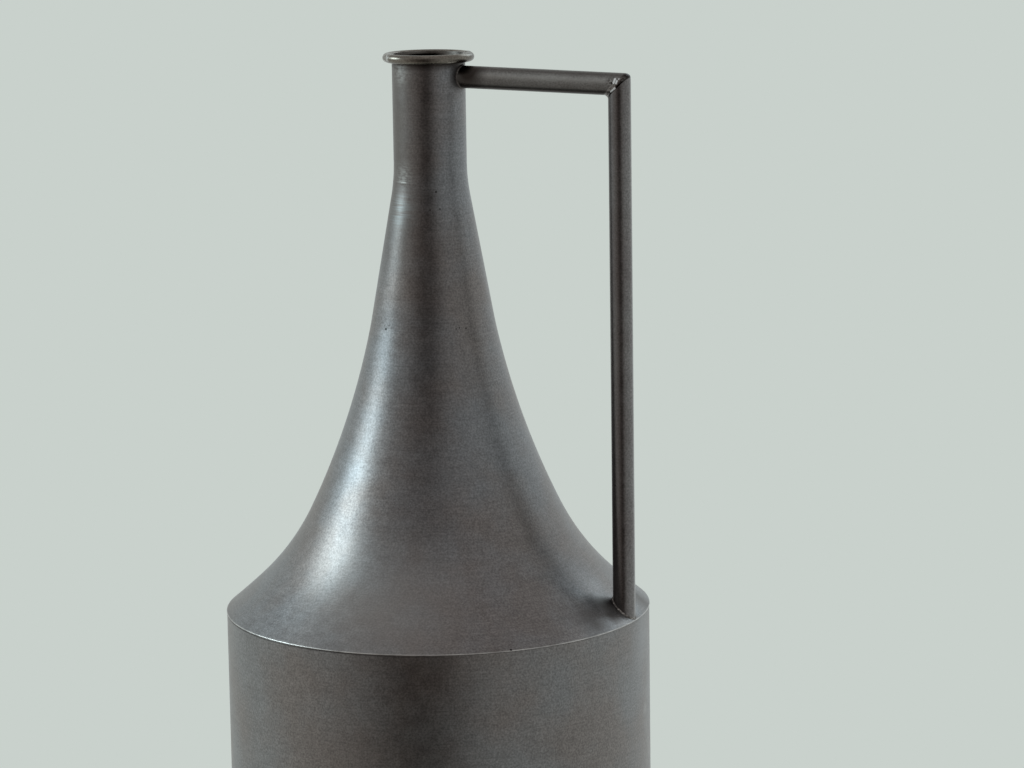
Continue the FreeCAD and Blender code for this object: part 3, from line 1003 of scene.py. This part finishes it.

# %% [markdown]
# ## Marks on the drum and the shoulder
# The crease is an edge that everything rubs against, so its lip is bright. The corner
# under it has painted shade, deeper on the left. Where the post is welded on, the heat
# darkened the steel. Beside its foot there is painted shade, and painted light over the
# post's dark reflection. The drum has a painted highlight near its top on the right. Small
# pinholes show in the ground seam between shoulder and cone. Real holes, a millimetre
# across, would cost thousands of faces, and a dark dot looks the same.

# %% Drum and shoulder marks
def drum_marks(tree, place):
    """Painted shade under the crease's lip, a faint rub, and a painted highlight near the top."""
    # Painted shade under the lip of the crease, deeper on the side at the camera's left.
    painted_shade = [*band(tree, place, UPWARD, 210.3, 212.0, 0.4), *left_side(tree, place, -40.0, 90.0)]
    rubs_and_sheen = [spots(tree, place, [(150.9, 21.2, 142.0, 6.0)], 1.0), blotches(tree, place, 2)]
    # Painted highlight: a pale patch near the top of the drum's right.
    painted_light = [spots(tree, place, [(151.8, 14.0, 193.8, 26.0)], 1.0), 0.45]
    return [(painted_shade, "#2b2725"), (rubs_and_sheen, "#a3a2a0"), (painted_light, "#9da1a4")]


def shoulder_marks(tree, place):
    """A worn lip, pinholes in the seam, a lighter front, heat marks and painted shade beside the post,
    and painted light over its dark reflection.
    """
    # Painted light over the post's dark reflection, beside its foot.
    painted_light = [spots(tree, place, [(135.2, -17.3, 225.8, 11.0)], 1.0), 0.45]
    # Heat marks round the post's foot. On the side towards the camera they are painted shade as well.
    heat_and_shade = [spots(tree, place, [
        (139.2, -43.2, 217.7, 20.0), (144.0, -22.7, 217.7, 10.0), (140.9, 41.5, 216.7, 20.0)], 0.9), 0.7]
    # A wide lighter patch on the front of the shoulder.
    lighter_front = [spots(tree, place, [(8.0, -125.0, 236.0, 75.0)], 1.0), 0.5]
    worn = [*band(tree, place, UPWARD, 211.0, 212.1, 0.25), ragged(tree, place, 9, 0.1, 0.6)]
    pinholes = spots(tree, place, [
        (-20.6, -39.2, 420.3, 0.7), (-18.6, -40.1, 417.8, 1.1), (-15.9, -41.0, 420.4, 0.6),
        (31.3, -31.0, 418.9, 0.6), (33.0, -29.2, 419.4, 0.6), (36.3, -25.1, 418.7, 0.7),
        (103.4, -111.6, 212.6, 1.1)])
    return [(painted_light, "#c2c4c4"), (heat_and_shade, "#4a4441"), (lighter_front, "#a09e9b"),
            (worn, "#d0cecb"), ([pinholes], "#171412")]


# Blackened sheet steel, rubbed round the vase and waxed: to the eye a soft brown-grey
# sheen, a touch warmer on the drum, whose acid was rubbed back less.
drum_metal = gunmetal("blackened_waxed_steel_drum", "#827d7a", "#858585", 0.37, drum_marks)
shoulder_metal = gunmetal("blackened_waxed_steel_shoulder", DARK, RUBBED, 0.36, shoulder_marks)
print("nodes:", len(drum_metal.node_tree.nodes), "and", len(shoulder_metal.node_tree.nodes))

# %% [markdown]
# ## Marks on the cone and the neck
# The cone and the neck are stained on the side at the camera's left. The stain has to run
# on over the seam between them. One material for both would do it, but each has marks of
# its own, so both use the same colour and the same mask instead. The neck also has
# painted shade under the ring and round the arm's joint. Its inside is raw steel, and
# dark where no light falls in.

# %% Cone and neck marks
def upper_marks(tree, place):
    """Below the neck's seam the cone is stained, rubbed in one place, and has a few pits."""
    stained = [*left_side(tree, place, 4.0, 22.0), *band(tree, place, UPWARD, 471, 560, 30)]
    rubs_and_sheen = [spots(tree, place, [(-12.5, -25.5, 500.0, 19.0)], 1.0), 0.9,
            ragged(tree, place, 1.3, 0.42, 0.6, stretch=(16, 16, 1))]
    pits = spots(tree, place, [
        (14.2, -23.0, 514.1, 0.8), (11.2, -27.0, 501.7, 0.6), (17.3, -23.5, 502.2, 0.7),
        (-15.9, -41.0, 420.6, 0.6)])
    return [(stained, STAIN), (rubs_and_sheen, "#868a8b"), ([pits], "#1f1b19")]


def neck_marks(tree, place):
    """Stained on the left side, with painted shade under the ring and round the arm's joint, and
    scratched where the seam and the ring were dressed."""
    # Painted shade on the neck round the arm's joint.
    painted_shade = spots(tree, place, [(24.5, -3.0, 593.6, 12.5)], 0.6)
    # Painted shade on the neck under the ring.
    shade_under_ring = beyond(tree, place, UPWARD, 598.0, 603.0)
    dressed = [spots(tree, place, [(-9.0, -24.4, 525.0, 13.0), (-11.0, -23.4, 596.0, 11.0)], 0.9),
               ragged(tree, place, 1.4, 0.40, 0.62, stretch=(3, 3, 1)), 0.9]
    inside = inside_of(tree, place, NECK_RADIUS - SHEET / 2)
    unlit = [inside, spots(tree, place, [(-12.6, 21.2, 603.0, 15.5)], 0.4),
             beyond(tree, place, UPWARD, 608.0, 607.0)]
    return [(left_side(tree, place, 4.0, 22.0), STAIN), ([painted_shade], "#4a4543"),
            ([shade_under_ring], "#3b3633"), (dressed, "#92918e"), ([inside], "#98928d"),
            (unlit, "#15110f")]


# The same blackened sheet: to the eye darker and browner at the camera's left, where the
# pad didn't reach, with bright dressed scratches at the neck's seam and under the ring,
# and painted shade under the ring and by the arm.
upper_metal = gunmetal("blackened_waxed_steel_cone", DARK, RUBBED, 0.36, upper_marks)
neck_metal = gunmetal("blackened_waxed_steel_neck", DARK, RUBBED, 0.36, neck_marks)
print("nodes:", len(upper_metal.node_tree.nodes), "and", len(neck_metal.node_tree.nodes))

# %% [markdown]
# ## Marks on the rim
# The ring was rubbed along its top, and dressed with a grinder where its ends meet. At
# its left it has a painted highlight. It could wear the neck's metal, but a pad reaches a
# rod from all sides and leaves it smoother, so it has a material of its own.

# %% Rim marks
def rim_marks(tree, place):
    """Stain by the arm, rough dressing where the ring was closed, and a ragged painted highlight at the
    left.
    """
    dressed = [spots(tree, place, [(22.0, 21.0, 609.0, 15.0)], 0.6),
               ragged(tree, place, 1.8, 0.45, 0.6)]
    # Painted highlight: bright ragged rubs at the ring's left, where the window lamp's highlight falls.
    rubs_and_sheen = [spots(tree, place, [(-24.0, -21.0, 607.5, 9.0)], 0.8),
            ragged(tree, place, 2.2, 0.5, 0.62)]
    stained = [spots(tree, place, [(28.0, 10.0, 606.7, 17.0)], 1.0), 0.9]
    return [(stained, "#3f3a35"), (dressed, "#8f8d87"), (rubs_and_sheen, "#dfe0de")]


# Blackened, rubbed and waxed rod: to the eye browner and glossier than the sheets, with a
# short sharp highlight.
rim_metal = gunmetal("blackened_waxed_steel_rod", "#736d65", "#827c74", 0.28, rim_marks)
print("nodes:", len(rim_metal.node_tree.nodes))

# %% [markdown]
# ## Silver streaks at the mitre
# The grinder touched the mitre last and left three short silver streaks. Scratches like
# these scatter light to all sides. A mirror-like metal would flash at one angle and stay
# dark at all others, so there the surface stops being metal. Each streak is a row of
# small round spots, because a spot needs only a place and a size.

# %% Silver streaks
def bright_specks(tree, place):
    """Where the grinder touched last: three short streaks and a speck on one side of the mitre."""
    return spots(tree, place, [
        (142.4, -7.9, 592.0, 1.0), (142.7, -7.7, 592.8, 1.0), (142.9, -7.4, 593.6, 1.0),
        (143.2, -6.9, 594.4, 1.0), (144.4, -8.0, 591.5, 0.85), (144.6, -7.8, 592.2, 0.85),
        (144.7, -7.6, 593.0, 0.85), (140.4, -6.7, 585.7, 0.95), (141.2, -7.1, 586.3, 0.95),
        (142.0, -7.4, 587.0, 0.95), (142.8, -7.7, 587.7, 0.95), (143.4, -7.8, 588.2, 0.95),
        (146.0, -6.9, 594.5, 0.6)], 0.4)


print("soft spots of 0.6 to 1 mm radius make two upright streaks and one slanting one")

# %% [markdown]
# ## Marks on the handle's tubes
# The pad went along the tubes. Each has a painted highlight along one line and painted
# shade on other sides. One dirty tone for the whole handle would be quicker, but the
# line is what makes a thin tube look round from afar.

# %% Arm and post marks
def arm_marks(tree, place):
    """A painted highlight along the front, painted shade on top and below, a heat mark and
    painted shade at the neck, dark scratches by the mitre, and the silver streaks over them."""
    level = CORNER @ ARM_UP
    # Painted shade: darker towards the arm's underside.
    underside = beyond(tree, place, ARM_UP, level + 0.5, level - 6.5)
    # Painted shade: the arm's top is darker.
    crown = [beyond(tree, place, ARM_UP, level + 4.0, level + 6.5), 0.7]
    # Painted highlight: a bright band along the upper front of the arm.
    rubs_and_sheen = [*band(tree, place, ARM_UP, level + 1.2, level + 3.6, 1.2),
            beyond(tree, place, -ACROSS, 0.0, 4.0), 0.5]
    # A heat mark by the neck, which is painted shade at the joint as well.
    heat_and_shade = spots(tree, place, [(33.0, -3.0, 597.0, 16.0)], 0.6)
    scratched = [spots(tree, place, [(141.0, -7.2, 591.5, 5.5)], 0.7),
                 ragged(tree, place, 1.5, 0.54, 0.44)]
    return [([underside], "#443e3b"), (crown, "#4f4a47"), (rubs_and_sheen, "#b5b5b3"),
            ([heat_and_shade], "#403b38"), (scratched, "#3a3532"),
            ([bright_specks(tree, place)], "#f6f8f8")]


def post_marks(tree, place):
    """Painted shade on the side towards the cone, and a painted highlight along the edge at the camera's
    right.
    """
    # Painted shade on the post's side towards the cone.
    shade_towards_cone = beyond(tree, place, OUT, CORNER[0] + 2.5, CORNER[0] - 7.0)
    edge = CORNER @ RIGHT_SIDE
    # Painted highlight: a bright line along the post's edge at the camera's right.
    painted_edge_light = [beyond(tree, place, RIGHT_SIDE, edge + 6.8, edge + 7.6), 0.5]
    return [([shade_towards_cone], "#565150"), (painted_edge_light, "#b3b2b0")]


# Drawn steel tube, blackened and waxed, and rubbed along its length, so it has no rings.
# To the eye the arm is greyer with a painted highlight along it, and the post has painted
# shade on the vase's side.
arm_metal = gunmetal("blackened_waxed_steel_arm", "#838280", "#929391", 0.33, arm_marks, EVEN,
                     grit=bright_specks)
post_metal = gunmetal("blackened_waxed_steel_post", "#75706f", "#817f7e", 0.33, post_marks, EVEN)
print("nodes:", len(arm_metal.node_tree.nodes), "and", len(post_metal.node_tree.nodes))

# %% [markdown]
# ## Marks on the handle's welds
# Weld metal takes the same finish, but looks different by how it was left. The mitre was
# ground, so it is smooth with low lumps and a dark groove where the grinding stopped.
# The beads were left as laid, so they are sooty and only their ripples are rubbed. One
# weld material would save a few nodes, and would lose just that difference.

# %% Weld marks
def weld_marks(tree, place):
    """A ground weld: dark pits, a groove where it ends on the post, painted shade on the outer
    corner where the lamp would show, and bright specks."""
    mitre = CORNER @ MITRE
    pits = [ragged(tree, place, 2.4, 0.46, 0.38), 0.8]
    groove = [*band(tree, place, MITRE, mitre + 0.9, mitre + 2.3, 0.3),
              *band(tree, place, UPWARD, 580.0, 594.0, 1.5)]
    # Painted shade on the outer corner, which keeps the lamp's reflection there dark.
    painted_shade = spots(tree, place, [(150.0, -1.0, 597.0, 7.5)], 0.6)
    return [(pits, "#3f3936"), (groove, "#1d1917"), ([painted_shade], "#2e2927"),
            ([bright_specks(tree, place)], "#f6f8f8")]


def bead_marks(tree, place):
    """Laid beads: the tops of the ripples are rubbed a little brighter than the soot."""
    return [([ragged(tree, place, 1.6, 0.50, 0.58, 2.0)], "#9b9692")]


# Weld metal ground under the same finish: to the eye smoother and glossier than the tubes.
ground_metal = gunmetal("ground_mild_steel_weld", "#75716e", "#8b8885", 0.28, weld_marks, EVEN,
                        0.4, bright_specks)
# Beads left as they were laid: to the eye a dark line with a row of small bright dots.
bead_metal = gunmetal("sooty_mild_steel_bead", "#4d4845", "#6a6663", 0.30, bead_marks, EVEN)
# The bead at the neck, where no pad reached: to the eye only a dull dark line.
soot_metal = gunmetal("sooty_mild_steel_fillet", "#4b4643", "#625d5a", 0.40, None, EVEN)
print("nodes:", len(ground_metal.node_tree.nodes), "and", len(bead_metal.node_tree.nodes))

# %% [markdown]
# ## Rubber for the bumpers
# Four small bumpers under the floor keep the steel off the ground. They are moulded black
# rubber. A plain black would do for a piece that is hardly seen, but even rubber varies
# a little where the mould's surface was worn.

# %% Rubber
# Moulded rubber: to the eye dull and almost even, with no sheen, and not a metal.
rubber, tree, shader, place = new_material("moulded_black_rubber")
rubber_tone = node(tree, "ShaderNodeMix", {
    SHARE: blotches(tree, place, 3), UNDER: colour("#1c1b1a"), OVER: colour("#262524")},
    data_type="RGBA")
tree.links.new(rubber_tone.outputs[MIXED], shader.inputs["Base Color"])
shader.inputs["Roughness"].default_value = 0.7
print(rubber.name, "has a roughness of 0.7")

# %% [markdown]
# ## Which piece has which finish
# The new pieces take their material in a slot of their own. The hidden pieces keep their
# shape from the frame, and only their material changes. Assigning by hand would work for
# twenty pieces, but a list shows at a glance which of them came out of the same bath.

# %% Finishes
finishes = [
    (drum_metal, (drum, drum_seam)), (shoulder_metal, (shoulder, cone_seam)),
    (upper_metal, (upper,)), (neck_metal, (neck, neck_seam)),
    (rim_metal, (rim, rim_bead, rim_fill)), (arm_metal, (arm,)), (post_metal, (post,)),
    (ground_metal, (mitre_bead,)), (bead_metal, (foot_bead, crook)), (soot_metal, (neck_bead,)),
]
for material, pieces in finishes:
    for piece in pieces:
        piece.data.materials.append(material)
for name, material in (("base_disc", drum_metal), ("base_weld", bead_metal),
                       ("crease_weld", bead_metal), ("foot_pads", rubber)):
    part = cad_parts[name]
    part.data.materials.clear()
    part.data.materials.append(material)
print(len(finishes) + 1, "finishes on", sum(len(pieces) for _, pieces in finishes), "new pieces")

# %% [markdown]
# ## Lamps
# A metal shows its surroundings, so the light is part of the look. A wide soft lamp, like
# a window, stands at the left and slightly behind, and gives the long highlight. A second
# one, well behind at the right, lights the shoulder beside the handle. Small lamps would
# be simpler, but waxed steel would show them as dots, and only a wide one gives a band.

# %% Lamps
VIEW_TURN = math.radians(24.05)
TO_CAMERA = np.array([math.sin(VIEW_TURN), -math.cos(VIEW_TURN), 0.0])
TO_RIGHT = np.array([math.cos(VIEW_TURN), math.sin(VIEW_TURN), 0.0])


def direction(azimuth, elevation):
    """A unit vector: degrees to the right of the camera's side, and degrees above level."""
    azimuth, elevation = math.radians(azimuth), math.radians(elevation)
    level = math.cos(azimuth) * TO_CAMERA + math.sin(azimuth) * TO_RIGHT
    return math.cos(elevation) * level + np.array([0.0, 0.0, math.sin(elevation)])


def soft_light(name, azimuth, elevation, distance, width, height, watts, tint="#ffffff"):
    """A rectangular lamp that faces the middle of the vase."""
    lamp = bpy.data.lights.new(name, "AREA")
    lamp.shape = "RECTANGLE"
    lamp.size, lamp.size_y = width, height
    lamp.energy = watts
    lamp.color = colour(tint)[:3]
    placed = bpy.data.objects.new(name, lamp)
    centre = Vector((0.0, 0.0, 0.35))
    away = Vector(direction(azimuth, elevation))
    placed.location = centre + away * distance
    placed.rotation_euler = away.to_track_quat("Z", "Y").to_euler()
    bpy.context.scene.collection.objects.link(placed)
    print(name, "has", watts, "watts on", round(width * height, 2), "square metres")


soft_light("window_left", azimuth=-98.5, elevation=24.5, distance=1.9, width=0.73, height=0.78,
           watts=14.0, tint="#e0f5fb")
soft_light("window_behind_right", azimuth=141, elevation=34, distance=1.9, width=0.8, height=0.8,
           watts=3.7, tint="#e0f1f8")

# %% [markdown]
# ## What surrounds the vase
# The side behind the camera is dim, which makes the dark band down the middle of the
# vase. A picture of a room could be wrapped round as the world, but its furniture would
# show in the steel. Here a ramp of plain greys goes round the horizon and blends into
# one grey overhead.

# %% Greys round the horizon
world = bpy.data.worlds.new("pale_room")
bpy.context.scene.world = world
world.use_nodes = True
tree = world.node_tree
tree.nodes.clear()
way = node(tree, "ShaderNodeTexCoord").outputs["Generated"]
towards, across = (
    node(tree, "ShaderNodeVectorMath", {0: way, 1: tuple(axis)}, operation="DOT_PRODUCT").outputs["Value"]
    for axis in (TO_CAMERA, TO_RIGHT))
azimuth = node(tree, "ShaderNodeMath", {0: across, 1: towards}, operation="ARCTAN2").outputs["Value"]
turn = node(tree, "ShaderNodeMapRange", {
    "Value": azimuth, "From Min": -math.pi, "From Max": math.pi})
ramp = node(tree, "ShaderNodeValToRGB", {"Fac": turn.outputs["Result"]})
# Degrees to the right of the camera's side, and the grey in that direction.
stops = [
    (-180, "#d0d6d4"), (-117, "#ced3d0"), (-83, "#c6c8c5"), (-50, "#a39f9b"), (-25, "#5d5551"),
    (-10, "#2e2725"), (3, "#4a4341"), (15, "#979592"), (34, "#afb1b0"), (64, "#b6b9b8"),
    (100, "#cdd2d1"), (146, "#dde3e3"), (180, "#d0d6d4"),
]
while len(ramp.color_ramp.elements) < len(stops):
    ramp.color_ramp.elements.new(0.5)
for element, (degrees, hex_code) in zip(ramp.color_ramp.elements, stops):
    element.position = degrees / 360 + 0.5
    element.color = colour(hex_code)
print(len(stops), "greys round the horizon")

# %% [markdown]
# ## Overhead, and the backdrop
# The greys are what the steel reflects. What the camera sees behind the vase is another,
# even tone, so that the outline stands clear. A backdrop mesh would need its own light.
# Light Path's camera ray tells the two apart with one node.

# %% Overhead and backdrop
height = node(tree, "ShaderNodeSeparateXYZ", {"Vector": way}).outputs["Z"]
overhead = node(tree, "ShaderNodeMapRange", {"Value": height, "From Min": 0.3, "From Max": 0.9})
greys = node(tree, "ShaderNodeMix", {
    SHARE: overhead.outputs["Result"], UNDER: ramp.outputs["Color"], OVER: colour("#b0aead")},
    data_type="RGBA").outputs[MIXED]
rays = node(tree, "ShaderNodeLightPath")
seen = node(tree, "ShaderNodeBackground", {"Color": colour("#c9d1cc"), "Strength": 1.0})
room = node(tree, "ShaderNodeBackground", {"Color": greys, "Strength": 1.0})
both = node(tree, "ShaderNodeMixShader", {
    0: rays.outputs["Is Camera Ray"], 1: room.outputs["Background"], 2: seen.outputs["Background"]})
node(tree, "ShaderNodeOutputWorld", {"Surface": both.outputs["Shader"]})
print("nodes in the world:", len(tree.nodes))

# %% [markdown]
# ## The floor
# A plain pale disc is enough to carry the shadow. An endless plane would do too, but its
# horizon would cut through the view.

# %% Floor
def floor_disc(radius, count=192):
    """A round pale floor under the vase, as rings of faces round its middle."""
    rings = np.array([0.001, 0.05, 0.15, 0.3, 0.5, 0.75, 1.0]) * radius
    angles = np.linspace(0.0, 2 * math.pi, count, endpoint=False)
    points = np.stack([
        rings[None, :] * np.cos(angles)[:, None],
        rings[None, :] * np.sin(angles)[:, None],
        np.zeros((count, len(rings))),
    ], axis=-1).reshape(-1, 3)
    mesh = bpy.data.meshes.new("floor")
    faces = grid_faces(count, len(rings), wrap_columns=False)[:, ::-1]
    mesh.from_pydata(points.tolist(), [], faces.tolist())
    made = bpy.data.objects.new("floor", mesh)
    bpy.context.scene.collection.objects.link(made)
    return made


floor = floor_disc(0.32)
# Matt paint on a board: to the eye an even pale tone that takes a soft shadow.
floor_paint, tree, shader, place = new_material("matt_floor_paint")
floor_tone = node(tree, "ShaderNodeMix", {
    SHARE: blotches(tree, place, 120), UNDER: colour("#e8ebe1"), OVER: colour("#eef1e7")},
    data_type="RGBA")
tree.links.new(floor_tone.outputs[MIXED], shader.inputs["Base Color"])
shader.inputs["Roughness"].default_value = 0.8
floor.data.materials.append(floor_paint)
print("floor", len(floor.data.polygons), "faces")

# %% [markdown]
# ## The camera
# It looks slightly down from about 2.5 m away with a long lens, which keeps the vase's
# outline almost free of perspective. A Track To constraint would aim it at the vase, but
# the picture's own roll and centre would be lost, so its three directions are given and
# made square to each other.

# %% Camera
FILM_WIDTH = 36.0
FOCAL_LENGTH = 122.46
EYE = Vector((1.001369, -2.243841, 0.796792))
camera_data = bpy.data.cameras.new("camera")
camera_data.sensor_width = FILM_WIDTH
camera_data.lens = FOCAL_LENGTH
camera = bpy.data.objects.new("camera", camera_data)
bpy.context.scene.collection.objects.link(camera)
bpy.context.scene.camera = camera
right = Vector((0.92314560, 0.38418127, -0.01438601))
up = Vector((-0.05238341, 0.16276604, 0.98527316))
# The last term is a hair of turn to the left, found with the handle's corner.
ahead = Vector((-0.38086505, 0.90879699, -0.17038148)) - right * 0.000287
ahead.normalize()
right = ahead.cross(up).normalized()
up = right.cross(ahead)
camera.matrix_world = Matrix((
    (right.x, up.x, -ahead.x, EYE.x),
    (right.y, up.y, -ahead.y, EYE.y),
    (right.z, up.z, -ahead.z, EYE.z),
    (0.0, 0.0, 0.0, 1.0),
))
print("the camera looks", round(math.degrees(math.asin(-ahead.z)), 1), "degrees down")

# %% [markdown]
# ## The end
# The view transform is set to Standard. The dressed vase has to stay inside the box of
# the frame.

# %% View transform
bpy.context.scene.view_settings.view_transform = "Standard"
